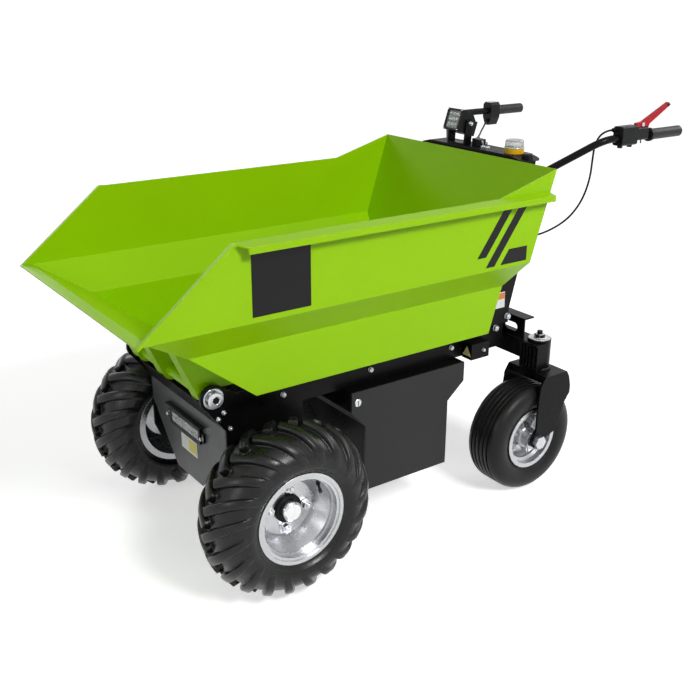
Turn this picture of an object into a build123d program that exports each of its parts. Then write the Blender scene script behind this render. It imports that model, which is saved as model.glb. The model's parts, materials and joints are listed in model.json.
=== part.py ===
from build123d import *
from math import asin, cos, hypot, pi, radians, sin, tan
import os

# Walk-behind mini dumper: a forward-tipping tub on a black steel frame, two driven lug tyres
# in front, two swivel casters behind, a control tower with handlebars at the back.
# Millimetres, +X forward, +Y left, +Z up. The origin is on the floor under the middle of the
# machine's box. "ahead" values are measured forward from the front axle, "z" from the floor.

os.makedirs("parts", exist_ok=True)

# ---------------------------------------------------------------- driving dimensions
front_axle_x = 439.0
fit = 0.05                  # radial running clearance of every turning fit
moving_gap = 5.0            # side room between a moving piece and a fixed one
plate = 6.0                 # cut plates
sheet_t = 3.0               # folded sheet and tube walls

# front wheels
front_tyre_r = 198.0        # over the lugs
front_tyre_w = 154.0
tyre_side_gap = 24.0        # frame to tyre
lug_h = 12.0
lug_w = 27.0
lug_count = 20              # on each half of one tread
rim_r = 104.0               # over the flange
rim_w = 131.0
stub_r = 12.5               # stub axle the hub turns on
stub_out = 22.0             # outer end of the stub, outward of the tyre's centre
hub_r = 30.0

# rear casters
caster_tyre_r = 142.0
caster_tyre_w = 107.0
caster_y = 237.0            # kingpin, from the middle
caster_rim_r = 80.0
caster_rim_w = 92.0
caster_hub_r = 26.0
caster_lead = 48.0          # wheel axle ahead of its kingpin
kingpin_r = 12.5
caster_bolt_r = 8.0
crown_gap = 25.0            # tyre to the fork's crown
leg_gap = 6.0               # tyre to the fork's legs
cap_gap = 1.0               # kingpin housing to what turns above and below it

# frame
frame_half = 187.0          # outside of the side plates
rail_w = 40.0
rail_h = 60.0
rail_rise = 34.0            # rails above the beam's underside
beam_size = 48.0
beam_wall = 4.0
housing_drop = 25.0         # kingpin housing below the beam
housing_r = 30.0
housing_w = 60.0
kingpin_set = 35.0          # kingpin behind the beam's front face

# tub, folded from sheet
tub_gap = 16.0              # rails to the tub's floor
tub_half = 314.0            # upper half width
tub_low_half = 251.0        # lower half width
low_wall_h = 113.0          # upright wall above the floor
band_h = 69.0               # sloping band
high_wall_h = 161.0         # upright wall above the band
back_rise = 48.0            # back above the level rim
floor_front = 41.0
floor_len = 641.0
back_lean = 122.0
chute_bend = 187.0
lip_ahead = 318.0
lip_depth = 24.0
rim_front = 119.0
rim_kink = -549.0
flange_w = 25.0
flange_drop = 13.0
flange_back = -699.0

# tipping pivot
pivot_ahead = 107.0
pivot_rise = 3.0            # above the rails
shaft_r = 10.0
sleeve_r = 14.0
eye_r = 22.0
ear_r = 29.0                # ears of the side plates

# control tower and handlebars
tower_lip = 4.0             # tower beyond the rails at each side
tower_h = 401.0
tower_gap = 20.0            # tub's back to the tower's front, at its top
panel_t = 12.0
bar_r = 9.0
bar_y = 280.0
bar_rise = 50.0             # grips above the tower
grip_r = 13.5
grip_len = 117.0
bar_end = -1194.0
cable_r = 2.5

# ---------------------------------------------------------------- places that follow
fork_top_z = 2 * caster_tyre_r + crown_gap + plate
housing_low_z = fork_top_z + cap_gap
beam_z = housing_low_z + housing_drop
housing_top_z = beam_z + beam_size
rail_z = beam_z + rail_rise
rail_top = rail_z + rail_h
tub_floor_z = rail_top + tub_gap
crease_low_z = tub_floor_z + low_wall_h
crease_high_z = crease_low_z + band_h
rim_z = crease_high_z + high_wall_h
back_top_z = rim_z + back_rise
tower_top = rail_top + tower_h
panel_top = tower_top + panel_t
bar_z = tower_top + bar_rise

floor_back = floor_front - floor_len
back_top = floor_back - back_lean
tower_foot_front = floor_back - 55.0
tower_foot_back = tower_foot_front - 76.0
tower_head_front = back_top - tower_gap
tower_head_back = tower_head_front - 46.0
beam_front = tower_foot_back - 29.0

pivot_x = front_axle_x + pivot_ahead
pivot_z = rail_top + pivot_rise
plate_y = frame_half - plate            # inner face of the side plates
wheel_y = frame_half + tyre_side_gap + front_tyre_w / 2
beam_x = front_axle_x + beam_front
kingpin_x = beam_x - kingpin_set
caster_axle_x = kingpin_x + caster_lead
tower_half = plate_y + tower_lip
margin = 60.0                           # how far trimming shapes run past the tub
full_w = 2 * tub_half + margin


def ahead(distance, height):
    """Point of a side view: forward of the front axle, above the floor."""
    return (front_axle_x + distance, height)


def side_plane(y):
    """Vertical plane along the machine at y, sketched as (x, z)."""
    return Plane.XZ.offset(-y)


def cross_plane(x):
    """Vertical plane across the machine at x, sketched as (y, z)."""
    return Plane.YZ.offset(x)


def outline(points):
    """Closed face through the points."""
    with BuildLine() as edge:
        Polyline(*points, close=True)
    make_face(edge.edges())


def sheet(points, thickness):
    """Face of a folded sheet: a line thickened to its left, its bends mitred."""
    normals = []
    for (x0, y0), (x1, y1) in zip(points, points[1:]):
        length = hypot(x1 - x0, y1 - y0)
        normals.append(((y0 - y1) / length, (x1 - x0) / length))
    inner = []
    for (x, y), a, b in zip(points, [normals[0], *normals], [*normals, normals[-1]]):
        mitre = thickness / (1.0 + a[0] * b[0] + a[1] * b[1])
        inner.append((x + mitre * (a[0] + b[0]), y + mitre * (a[1] + b[1])))
    outline((*points, *reversed(inner)))


def save(piece, name):
    """Label one finished piece and write it as its own STEP file."""
    piece.part.label = name
    export_step(piece.part, f"parts/{name}.step")


def save_pair(piece, name):
    """Write a left-hand piece and its mirror image on the right."""
    save(piece, f"{name}_left")
    with BuildPart() as twin:
        mirror(piece.part, about=Plane.XZ)
    save(twin, f"{name}_right")


# ================================================================ tub
# side view of the folded centre sheet, from the lip down the chute and up the back
chute_line = (
    ahead(lip_ahead, crease_high_z),
    ahead(lip_ahead - lip_depth, crease_high_z),
    ahead(chute_bend, crease_low_z),
    ahead(floor_front, tub_floor_z),
)
floor_line = (chute_line[-1], ahead(floor_back, tub_floor_z))
back_line = (floor_line[-1], ahead(back_top, back_top_z))
rim_line = (ahead(rim_kink, rim_z), ahead(rim_front, rim_z))

# half of the section across the tub, from below the floor to above the rim
section_half = (
    (tub_low_half, tub_floor_z - margin),
    (tub_low_half, crease_low_z),
    (tub_half, crease_high_z),
    (tub_half, back_top_z + margin),
)
section = (*section_half, *[(-y, z) for y, z in reversed(section_half)])
tub_back_x = back_line[-1][0] - margin
tub_len = chute_line[0][0] - tub_back_x + margin

with BuildPart() as tub_side:
    with BuildSketch(cross_plane(tub_back_x)):
        sheet(section_half, sheet_t)
    extrude(amount=tub_len)
    with BuildSketch(side_plane(0)):
        outline((*chute_line, *back_line, *rim_line))
    extrude(amount=-full_w, mode=Mode.INTERSECT)
save_pair(tub_side, "tub_side")

# the centre sheet is three pieces welded end to end; each keeps the stretch low_x to high_x
for name, low_x, high_x in (
    ("tub_chute", chute_line[-1][0], chute_line[0][0] + margin),
    ("tub_floor", back_line[0][0], chute_line[-1][0]),
    ("tub_back", tub_back_x, back_line[0][0]),
):
    with BuildPart() as centre:
        with BuildSketch(side_plane(0)):
            sheet((*chute_line, *back_line), -sheet_t)
        extrude(amount=full_w, both=True)
        with BuildSketch(cross_plane(tub_back_x)):
            outline(section)
            offset(amount=-sheet_t, kind=Kind.INTERSECTION)
        extrude(amount=tub_len, mode=Mode.INTERSECT)
        with BuildSketch(side_plane(0)):
            with Locations(((low_x + high_x) / 2, tub_floor_z)):
                Rectangle(high_x - low_x, 2 * back_top_z)
        extrude(amount=full_w, both=True, mode=Mode.INTERSECT)
    save(centre, name)

# gutter flange along the level rim, with a hem along the sloping front edge
hem = 6.0
flange_front_x = front_axle_x + rim_front
flange_out = tub_half + flange_w
with BuildPart() as rims:
    with BuildSketch(cross_plane(front_axle_x + flange_back)):
        sheet(
            (
                (tub_half, rim_z),
                (flange_out, rim_z - hem),
                (flange_out, rim_z - hem - flange_drop),
            ),
            -sheet_t,
        )
    extrude(amount=rim_front - flange_back)
    with BuildSketch(Plane.XY.offset(rim_z - 2 * flange_w)):
        outline(
            (
                (flange_front_x, tub_half),
                (flange_front_x + margin, tub_half),
                (flange_front_x + margin, flange_out + hem),
                (flange_front_x - flange_w - hem, flange_out + hem),
            )
        )
    extrude(amount=3 * flange_w, mode=Mode.SUBTRACT)
    with BuildSketch(side_plane(0)):
        with Locations(((chute_line[0][0] + tub_back_x) / 2, rim_z)):
            Rectangle(tub_len, 2 * back_top_z)
    extrude(amount=-tub_half, mode=Mode.SUBTRACT)
    with BuildSketch(side_plane(tub_half)):
        sheet((chute_line[0], rim_line[-1], ahead(rim_front - 2 * hem, rim_z)), hem)
    extrude(amount=-hem)
    mirror(about=Plane.XZ)
save(rims, "tub_rims")

# hangers: folded channels under the chute, with eyes round the sleeve on the tipping shaft
hanger_t = 4.0
hanger_w = 40.0
hanger_side_y = plate_y - 11.0 - hanger_w / 2
hanger_centre_y = -hanger_w / 2
eye_front = (pivot_x + eye_r * 0.95, pivot_z - eye_r * 0.3)
hanger_view = (
    chute_line[2],
    eye_front,
    (pivot_x, pivot_z),
    (pivot_x - eye_r * 0.8, pivot_z + eye_r * 0.6),
    chute_line[3],
)
with BuildPart() as hangers:
    for y in (hanger_side_y, hanger_centre_y, -hanger_side_y):
        for web_y in (y - hanger_w / 2, y + hanger_w / 2 - hanger_t):
            with BuildSketch(side_plane(web_y)):
                outline(hanger_view)
                with Locations((pivot_x, pivot_z)):
                    Circle(eye_r)
            extrude(amount=-hanger_t)
        with BuildSketch(side_plane(y - hanger_w / 2)):
            sheet((chute_line[2], eye_front), -hanger_t)
        extrude(amount=-hanger_w)
    with BuildSketch(side_plane(-plate_y + moving_gap)):
        with Locations((pivot_x, pivot_z)):
            Circle(sleeve_r)
    extrude(amount=-2 * (plate_y - moving_gap))
    with BuildSketch(side_plane(-plate_y)):
        with Locations((pivot_x, pivot_z)):
            Circle(shaft_r + fit)
    extrude(amount=-2 * plate_y, mode=Mode.SUBTRACT)
    with BuildSketch(side_plane(0)):
        outline((*chute_line, ahead(0, tub_floor_z), ahead(0, rim_z), ahead(lip_ahead, rim_z)))
    extrude(amount=full_w, both=True, mode=Mode.SUBTRACT)
save(hangers, "tub_hangers")

# ================================================================ frame
outrigger_back = floor_back - 12.0      # middle of the outriggers and of the rear cross tube
outrigger_l = 58.0
outrigger_h = 40.0
outrigger_out = 34.0
outrigger_rise = 18.0       # their middle above the rails' underside
rail_front = pivot_ahead - 47.0
rail_back = tower_foot_back + 15.0      # clear of the slots in the lashing brackets
step_front = outrigger_back - rail_w / 2
with BuildPart() as rails:
    # middle, back end and front end of each tube: the rail, and the step inside it to the beam
    for y, back, front in (
        (plate_y - rail_w / 2, rail_back, rail_front),
        (plate_y - rail_w * 3 / 2, beam_front, step_front),
    ):
        with BuildSketch(cross_plane(front_axle_x + back)):
            with Locations((y, rail_z + rail_h / 2)):
                Rectangle(rail_w, rail_h)
                Rectangle(rail_w - 2 * sheet_t, rail_h - 2 * sheet_t, mode=Mode.SUBTRACT)
        extrude(amount=front - back)
    mirror(about=Plane.XZ)
save(rails, "rails")

cross_half = plate_y - rail_w
with BuildPart() as cross_tubes:
    for cross_ahead in (rail_front - rail_w / 2, outrigger_back):
        with BuildSketch(side_plane(-cross_half)):
            with Locations(ahead(cross_ahead, rail_top - rail_w / 2)):
                Rectangle(rail_w, rail_w)
                Rectangle(rail_w - 2 * sheet_t, rail_w - 2 * sheet_t, mode=Mode.SUBTRACT)
        extrude(amount=-2 * cross_half)
save(cross_tubes, "cross_tubes")

with BuildPart() as outriggers:
    # wall left round the hollow, length out from the frame
    for wall, length in ((0.0, outrigger_out), (sheet_t, outrigger_out - sheet_t)):
        with BuildSketch(side_plane(plate_y)):
            with Locations(ahead(outrigger_back, rail_z + outrigger_rise)):
                Rectangle(outrigger_l - 2 * wall, outrigger_h - 2 * wall)
        extrude(amount=-length, mode=Mode.SUBTRACT if wall > 0 else Mode.ADD)
    mirror(about=Plane.XZ)
save(outriggers, "outriggers")

# side plates: they carry the tipping shaft above and the axle below
cover_ahead = 80.0                      # front cover, ahead of the axle
cover_top = rail_z - 20.0
cover_side_low = rail_z - 75.0
cover_low = front_tyre_r - 30.0
plate_back = -110.0
with BuildPart() as side_plates:
    with BuildSketch(side_plane(plate_y)):
        outline(
            (
                ahead(plate_back, rail_top),
                ahead(pivot_ahead - 57.0, rail_top),
                (pivot_x - ear_r * 0.5, pivot_z + ear_r * 0.8),
                (pivot_x + ear_r * 0.9, pivot_z - ear_r * 0.4),
                ahead(cover_ahead, cover_top),
                ahead(cover_ahead, cover_low + 60.0),
                ahead(cover_ahead - 25.0, cover_low),
                ahead(-60.0, cover_low),
                ahead(plate_back, rail_z - 75.0),
            )
        )
        with Locations((pivot_x, pivot_z)):
            Circle(ear_r)
            Circle(shaft_r, mode=Mode.SUBTRACT)
        with Locations(ahead(0, front_tyre_r)):
            Circle(stub_r, mode=Mode.SUBTRACT)
    extrude(amount=-plate)
    mirror(about=Plane.XZ)
save(side_plates, "side_plates")

bolt_head = 10.0
with BuildPart() as tip_shaft:
    with BuildSketch(side_plane(-frame_half)):
        with Locations((pivot_x, pivot_z)):
            Circle(shaft_r)
    extrude(amount=-2 * frame_half)
    for y in (-frame_half - bolt_head, frame_half):
        with BuildSketch(side_plane(y)):
            with Locations((pivot_x, pivot_z)):
                RegularPolygon(shaft_r * 1.6, 6)
        extrude(amount=-bolt_head)
save(tip_shaft, "tip_shaft")

# shield-shaped cover closing the front of the axle housing
cover_x = front_axle_x + cover_ahead
cover_edge = (
    (plate_y, cover_top),
    (plate_y, cover_side_low),
    (98.0, cover_low + 37.0),
    (62.0, cover_low),
)
with BuildPart() as front_cover:
    with BuildSketch(cross_plane(cover_x)):
        outline((*cover_edge, *[(-y, z) for y, z in reversed(cover_edge)]))
    extrude(amount=-sheet_t)
save(front_cover, "front_cover")

# plate leaning forward above the cover, up to the hangers
with BuildPart() as upper_cover:
    with BuildSketch(side_plane(-plate_y)):
        sheet(
            (ahead(cover_ahead, cover_top), (pivot_x + 2.0, pivot_z - eye_r - 2 * moving_gap)),
            sheet_t,
        )
    extrude(amount=-2 * plate_y)
save(upper_cover, "front_upper_cover")

front_lamp_w = 150.0
front_lamp_h = 40.0
front_lamp_z = cover_top - 58.0
front_lamp_out = 8.0
front_bezel = 7.0
lens_t = 4.0
lens_set = 2.0              # lens back from the bezel's face
front_lens_x = cover_x + front_lamp_out - lens_set - lens_t
with BuildPart() as front_lamp:
    with BuildSketch(cross_plane(cover_x)):
        with Locations((0, front_lamp_z)):
            RectangleRounded(front_lamp_w, front_lamp_h, 6.0)
    extrude(amount=front_lamp_out)
    with BuildSketch(cross_plane(front_lens_x)):
        with Locations((0, front_lamp_z)):
            RectangleRounded(front_lamp_w - 2 * front_bezel, front_lamp_h - 2 * front_bezel, 4.0)
    extrude(amount=lens_t + lens_set, mode=Mode.SUBTRACT)
save(front_lamp, "front_lamp")

with BuildPart() as front_lens:
    with BuildSketch(cross_plane(front_lens_x)):
        with Locations((0, front_lamp_z)):
            RectangleRounded(front_lamp_w - 2 * front_bezel, front_lamp_h - 2 * front_bezel, 4.0)
    extrude(amount=lens_t)
save(front_lens, "front_lamp_lens")

# driven axle: tube with a central gearbox, a motor behind, stub axles for the wheels
axle_tube_r = 28.0
gearbox_r = 62.0
gearbox_half = 65.0
with BuildPart() as drive_axle:
    # half length of each turned stretch, its radius
    for half, radius in (
        (plate_y, axle_tube_r),
        (gearbox_half, gearbox_r),
        (wheel_y + stub_out, stub_r),
    ):
        with BuildSketch(side_plane(-half)):
            with Locations(ahead(0, front_tyre_r)):
                Circle(radius)
        extrude(amount=-2 * half)
save(drive_axle, "drive_axle")

motor_r = 52.0
motor_rise = 20.0
motor_back = 190.0
with BuildPart() as motor:
    with BuildSketch(cross_plane(front_axle_x - motor_back)):
        with Locations((0, front_tyre_r + motor_rise)):
            Circle(motor_r)
    extrude(amount=motor_back)
    with BuildSketch(side_plane(0)):
        with Locations(ahead(0, front_tyre_r)):
            Circle(gearbox_r)
    extrude(amount=gearbox_half, both=True, mode=Mode.SUBTRACT)
    with BuildSketch(cross_plane(front_axle_x)):
        with Locations((0, front_tyre_r)):
            Rectangle(4 * motor_r, 4 * motor_r)
    extrude(amount=-gearbox_r / 2, mode=Mode.SUBTRACT)
save(motor, "drive_motor")

# battery box: folded shell under the rails, tapering to a narrower lower part
box_half = 211.0
cover_t = 4.0
box_front = -front_tyre_r - 26.0
box_back = outrigger_back + outrigger_l / 2 + 22.0
box_deep = 259.0            # below the rails
box_upper_z = rail_z - 49.0
box_lower_z = rail_z - 91.0
box_low_z = rail_z - box_deep
box_in_front = box_front - 39.0
box_in_back = box_back + 49.0
box_view = (
    ahead(box_front, rail_z),
    ahead(box_front, box_upper_z),
    ahead(box_in_front, box_lower_z),
    ahead(box_in_front, box_low_z),
    ahead(box_in_back, box_low_z),
    ahead(box_in_back, box_lower_z),
    ahead(box_back, box_upper_z),
    ahead(box_back, rail_z),
)
with BuildPart() as battery_box:
    with BuildSketch(side_plane(-box_half)):
        outline(box_view)
        offset(amount=-sheet_t, kind=Kind.INTERSECTION, mode=Mode.SUBTRACT)
    extrude(amount=-2 * box_half)
save(battery_box, "battery_box")

with BuildPart() as battery_covers:
    with BuildSketch(side_plane(box_half)):
        outline(box_view)
    extrude(amount=-cover_t)
    mirror(about=Plane.XZ)
save(battery_covers, "battery_covers")

battery_h = 160.0
battery_play = 4.0          # round the batteries in their box
with BuildPart() as batteries:
    with BuildSketch(Plane.XY.offset(box_low_z + sheet_t)):
        with Locations((front_axle_x + (box_in_front + box_in_back) / 2, 0)):
            Rectangle(
                box_in_front - box_in_back - 2 * (sheet_t + battery_play),
                2 * (box_half - battery_play),
            )
    extrude(amount=battery_h)
save(batteries, "batteries")

# rear beam between the kingpin housings
housing_in = caster_y - housing_w / 2
with BuildPart() as rear_beam:
    with BuildSketch(side_plane(-housing_in)):
        with Locations((beam_x - beam_size / 2, beam_z + beam_size / 2)):
            Rectangle(beam_size, beam_size)
            Rectangle(beam_size - 2 * beam_wall, beam_size - 2 * beam_wall, mode=Mode.SUBTRACT)
    extrude(amount=-2 * housing_in)
save(rear_beam, "rear_beam")

with BuildPart() as housings:
    with BuildSketch(Plane.XY.offset(housing_low_z)):
        with Locations(((beam_x + kingpin_x) / 2, caster_y)):
            Rectangle(kingpin_set, housing_w)
        with Locations((kingpin_x, caster_y)):
            Circle(housing_r)
            Circle(kingpin_r + fit, mode=Mode.SUBTRACT)
    extrude(amount=housing_top_z - housing_low_z)
    mirror(about=Plane.XZ)
save(housings, "kingpin_housings")

# lashing brackets on the beam: angles with a rounded slot
bracket_w = 92.0
bracket_in = caster_y - 23.0 - bracket_w
bracket_out = bracket_in + bracket_w
bracket_h = 56.0
bracket_fold = 34.0
slot_w = 46.0
slot_h = 22.0
slot_rise = 26.0
with BuildPart() as brackets:
    with BuildSketch(side_plane(bracket_in)):
        sheet(
            (
                (beam_x, housing_top_z),
                (beam_x, housing_top_z + bracket_h),
                (beam_x - bracket_fold, housing_top_z + bracket_h),
            ),
            beam_wall,
        )
    extrude(amount=bracket_in - bracket_out)
    with BuildSketch(cross_plane(beam_x - beam_wall)):
        with Locations(((bracket_in + bracket_out) / 2, housing_top_z + slot_rise)):
            SlotOverall(slot_w, slot_h)
    extrude(amount=beam_wall, mode=Mode.SUBTRACT)
    mirror(about=Plane.XZ)
save(brackets, "lashing_brackets")

# ================================================================ control tower
tower_knee_z = rail_top + 37.0
waist_h = 127.0
tower_waist_z = rail_top + waist_h
tower_waist_back = tower_foot_back - 23.0
tower_view = (
    ahead(tower_foot_front, rail_top),
    ahead(tower_head_front, tower_top),
    ahead(tower_head_back, tower_top),
    ahead(tower_waist_back, tower_waist_z),
    ahead(tower_foot_back, tower_knee_z),
    ahead(tower_foot_back, rail_top),
)
with BuildPart() as tower:
    with BuildSketch(side_plane(-tower_half)):
        outline(tower_view)
    extrude(amount=-2 * tower_half)
    with BuildSketch(side_plane(-tower_half + sheet_t)):
        outline(tower_view)
        offset(amount=-sheet_t, kind=Kind.INTERSECTION)
    extrude(amount=-2 * (tower_half - sheet_t), mode=Mode.SUBTRACT)
save(tower, "control_tower")

panel_x = front_axle_x + (tower_head_front + tower_head_back) / 2 - 5.0
panel_w = 68.0
panel_over = 5.0            # panel beyond the tower at each side
panel_half = tower_half + panel_over
panel_taper = 40.0          # length that thins toward each end
panel_edge_t = 2.0
with BuildPart() as panel:
    with BuildSketch(cross_plane(panel_x - panel_w / 2)):
        outline(
            (
                (-panel_half, tower_top),
                (-panel_half, tower_top + panel_edge_t),
                (-panel_half + panel_taper, panel_top),
                (panel_half - panel_taper, panel_top),
                (panel_half, tower_top + panel_edge_t),
                (panel_half, tower_top),
            )
        )
    extrude(amount=panel_w)
    with BuildSketch(Plane.XY.offset(tower_top)):
        with Locations((panel_x, 0)):
            RectangleRounded(panel_w, 2 * panel_half, 16.0)
    extrude(amount=panel_t, mode=Mode.INTERSECT)
save(panel, "control_panel")

gland_y = 2.0
gland_w = 22.0
gland_l = 32.0
gland_h = 18.0
with BuildPart() as gland:
    with BuildSketch(Plane.XY.offset(panel_top)):
        with Locations((panel_x, gland_y)):
            RectangleRounded(gland_w, gland_l, 4.0)
    extrude(amount=gland_h)
save(gland, "cable_gland")

beacon_y = tower_half - 57.0
beacon_r = 24.0
beacon_base_h = 14.0
beacon_lens_h = 18.0
with BuildPart() as beacon_base:
    with BuildSketch(Plane.XY.offset(panel_top)):
        with Locations((panel_x, beacon_y)):
            Circle(beacon_r)
    extrude(amount=beacon_base_h)
save(beacon_base, "beacon_base")

with BuildPart() as beacon_lens:
    with BuildSketch(Plane.XY.offset(panel_top + beacon_base_h)):
        with Locations((panel_x, beacon_y)):
            Circle(beacon_r - 1.0)
    extrude(amount=beacon_lens_h)
    chamfer(beacon_lens.edges().group_by(Axis.Z)[-1], 3.0)
save(beacon_lens, "beacon_lens")

knob_y = tower_half - 11.0
knob_r = 14.0
knob_rise = 5.0             # top of the knob above the panel's middle
knob_round = 3.0
with BuildPart() as knob:
    with BuildSketch(Plane.XY.offset(tower_top)):
        with Locations((panel_x, knob_y)):
            Circle(knob_r)
    extrude(amount=panel_t + knob_rise)
    chamfer(knob.edges().group_by(Axis.Z)[-1], knob_round)
    add(panel.part, mode=Mode.SUBTRACT)
save(knob, "panel_knob")

# work lamp on a forked bracket, tilted back a little
lamp_y = -52.0
lamp_w = 56.0
lamp_h = 54.0
lamp_d = 60.0
lamp_bezel = 5.0
lamp_lens_set = 3.0
lamp_tilt = 18.0
lamp_x = panel_x + 15.0
lamp_z = panel_top + 55.0
lamp_slant = 24.0           # cut off the back of its top
lamp_plane = Plane(
    origin=(lamp_x, lamp_y, lamp_z),
    x_dir=(0, 1, 0),
    z_dir=(cos(radians(lamp_tilt)), 0, sin(radians(lamp_tilt))),
)
lens_plane = lamp_plane.offset(lamp_d / 2 - lamp_lens_set - lens_t)
with BuildPart() as work_lamp:
    with BuildSketch(lamp_plane.offset(-lamp_d / 2)):
        Rectangle(lamp_w, lamp_h)
    extrude(amount=lamp_d)
    chamfer(work_lamp.edges().filter_by(Axis.Y).sort_by(Axis.X)[0], lamp_slant)
    with BuildSketch(lens_plane):
        RectangleRounded(lamp_w - 2 * lamp_bezel, lamp_h - 2 * lamp_bezel, 4.0)
    extrude(amount=lens_t + lamp_lens_set, mode=Mode.SUBTRACT)
save(work_lamp, "work_lamp")

with BuildPart() as work_lens:
    with BuildSketch(lens_plane):
        RectangleRounded(lamp_w - 2 * lamp_bezel, lamp_h - 2 * lamp_bezel, 4.0)
    extrude(amount=lens_t)
save(work_lens, "work_lamp_lens")

fork_t = 5.0                # bracket's strap
foot_back_x = panel_x + 8.0
foot_front_x = panel_x + 30.0
with BuildPart() as lamp_bracket:
    for y in (lamp_y - lamp_w / 2 - fork_t, lamp_y + lamp_w / 2):
        with BuildSketch(side_plane(y)):
            outline(
                (
                    (lamp_x + 9.0, lamp_z + 8.0),
                    (lamp_x + 12.0, lamp_z - 10.0),
                    (foot_front_x, panel_top + fork_t),
                    (foot_front_x, panel_top),
                    (foot_back_x, panel_top),
                    (lamp_x - 10.0, lamp_z - 10.0),
                    (lamp_x - 9.0, lamp_z + 8.0),
                )
            )
        extrude(amount=-fork_t)
    with BuildSketch(side_plane(lamp_y - lamp_w / 2)):
        with Locations(((foot_back_x + foot_front_x) / 2, panel_top + fork_t / 2)):
            Rectangle(foot_front_x - foot_back_x, fork_t)
    extrude(amount=-lamp_w)
save(lamp_bracket, "work_lamp_bracket")

# ================================================================ handlebars
with BuildPart() as tower_block:
    with BuildSketch(side_plane(-tower_half)):
        outline(tower_view)
    extrude(amount=-2 * tower_half)

# each bar leaves the back of the tower, rises outward and bends back to its grip
bar_bend_x = front_axle_x - 915.0
bar_foot_run = 150.0        # of its foot, inside the tower, ahead of the bend
bar_drop = 1.0              # fall and inward run of that stretch, per unit of length forward
bar_in = 1.25
bar_path = (
    (bar_bend_x + bar_foot_run, bar_y - bar_in * bar_foot_run, bar_z - bar_drop * bar_foot_run),
    (bar_bend_x, bar_y, bar_z),
    (front_axle_x + bar_end, bar_y, bar_z),
)
with BuildPart() as bars:
    with BuildLine() as bar_line:
        FilletPolyline(*bar_path, radius=60.0)
    with BuildSketch(Plane(origin=bar_line.line @ 0, z_dir=bar_line.line % 0)):
        Circle(bar_r)
    sweep()
    add(tower_block.part, mode=Mode.SUBTRACT)
    mirror(about=Plane.XZ)
save(bars, "handlebars")

grip_cap = 2.0
collar_t = 7.0
collar_r = 16.5
bar_end_x = front_axle_x + bar_end
short_grip_len = 98.0       # beside the throttle
with BuildPart() as grips:
    for y, side_len in ((bar_y, grip_len), (-bar_y, short_grip_len)):
        # start of each stretch from the bar's end, its length, radius, bore
        for start, length, radius, bore in (
            (-grip_cap, grip_cap, grip_r, 0.0),
            (0.0, side_len, grip_r, bar_r),
            (side_len - collar_t, collar_t, collar_r, bar_r),
        ):
            with BuildSketch(cross_plane(bar_end_x + start)):
                with Locations((y, bar_z)):
                    Circle(radius)
                    if bore > 0:
                        Circle(bore, mode=Mode.SUBTRACT)
            extrude(amount=length)
save(grips, "grips")

# brake lever on the left bar
clamp_w = 30.0
clamp_h = 46.0
clamp_rise = 5.0
clamp_len = 56.0
mount_w = 26.0
mount_h = 31.0
mount_rise = 6.0
mount_len = 42.0
mount_ahead = 230.0         # of the bar's end
mount_front_x = bar_end_x + mount_ahead
mount_top_z = bar_z + mount_rise + mount_h / 2
with BuildPart() as brake_mount:
    # front of each block, its length, width, height and rise above the bar
    for front, length, width, height, rise in (
        (mount_front_x, clamp_len, clamp_w, clamp_h, clamp_rise),
        (mount_front_x - clamp_len, mount_len, mount_w, mount_h, mount_rise),
    ):
        with BuildSketch(cross_plane(front)):
            with Locations((bar_y, bar_z + rise)):
                RectangleRounded(width, height, 6.0)
            with Locations((bar_y, bar_z)):
                Circle(bar_r, mode=Mode.SUBTRACT)
        extrude(amount=-length)
save(brake_mount, "brake_mount")

lever_t = 10.0
lever_rise = 10.0           # lever above its mount
lever_hook = 11.0
lever_tip_rise = 53.0
lever_root_x = mount_front_x - clamp_len - mount_len
lever_tip_x = bar_end_x + 50.0
with BuildPart() as brake_lever:
    with BuildSketch(side_plane(bar_y - lever_t / 2)):
        outline(
            (
                (lever_root_x + 40.0, mount_top_z),
                (lever_root_x + 36.0, mount_top_z + lever_rise),
                (lever_root_x + 14.0, mount_top_z + lever_rise + 2.0),
                (lever_tip_x + 4.0, mount_top_z + lever_tip_rise),
                (lever_tip_x - 3.0, mount_top_z + lever_tip_rise - 6.0),
                (lever_root_x - 11.0, mount_top_z + 6.0),
                (lever_root_x - 4.0, mount_top_z - lever_hook),
                (lever_root_x, mount_top_z - lever_hook),
                (lever_root_x, mount_top_z),
            )
        )
    extrude(amount=-lever_t)
save(brake_lever, "brake_lever")

# throttle on the right bar
throttle_len = 34.0
throttle_half = ((11.0, 24.0), (17.0, 17.0), (17.0, -18.0), (7.0, -40.0))   # across, above
throttle_loop = (*throttle_half, *[(-y, z) for y, z in reversed(throttle_half)])
throttle_x = bar_end_x + short_grip_len
with BuildPart() as throttle:
    with BuildSketch(cross_plane(throttle_x)):
        outline([(y - bar_y, z + bar_z) for y, z in throttle_loop])
        with Locations((-bar_y, bar_z)):
            Circle(bar_r, mode=Mode.SUBTRACT)
    extrude(amount=throttle_len)
save(throttle, "throttle")

# ================================================================ cables
# routes as (ahead of the front axle, y, z), from the handlebars to the tower
brake_route = (
    (-956.0, 269.0, 905.0),
    (-940.0, 267.0, 905.0),
    (-924.0, 258.0, 894.0),
    (-917.0, 251.0, 871.0),
    (-913.0, 252.0, 840.0),
    (-912.0, 251.0, 790.0),
    (-903.0, 242.0, 738.0),
    (-880.0, 229.0, 696.0),
    (-846.0, 212.0, 668.0),
    (-806.0, 188.0, 648.0),
    (-776.0, 160.0, 637.0),
)
throttle_route = (
    (-1053.0, -272.0, 858.0),
    (-1012.0, -236.0, 853.0),
    (-955.0, -184.0, 852.0),
    (-903.0, -134.0, 856.0),
    (-858.0, -88.0, 860.0),
    (-822.0, -55.0, 862.0),
    (-796.0, -29.0, 861.0),
)
barrel_r = 5.0
barrel_len = 28.0


def cable_points(route):
    """Points of a cable's route in the part's own frame."""
    return [Vector(front_axle_x + x, y, z) for x, y, z in route]


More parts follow.
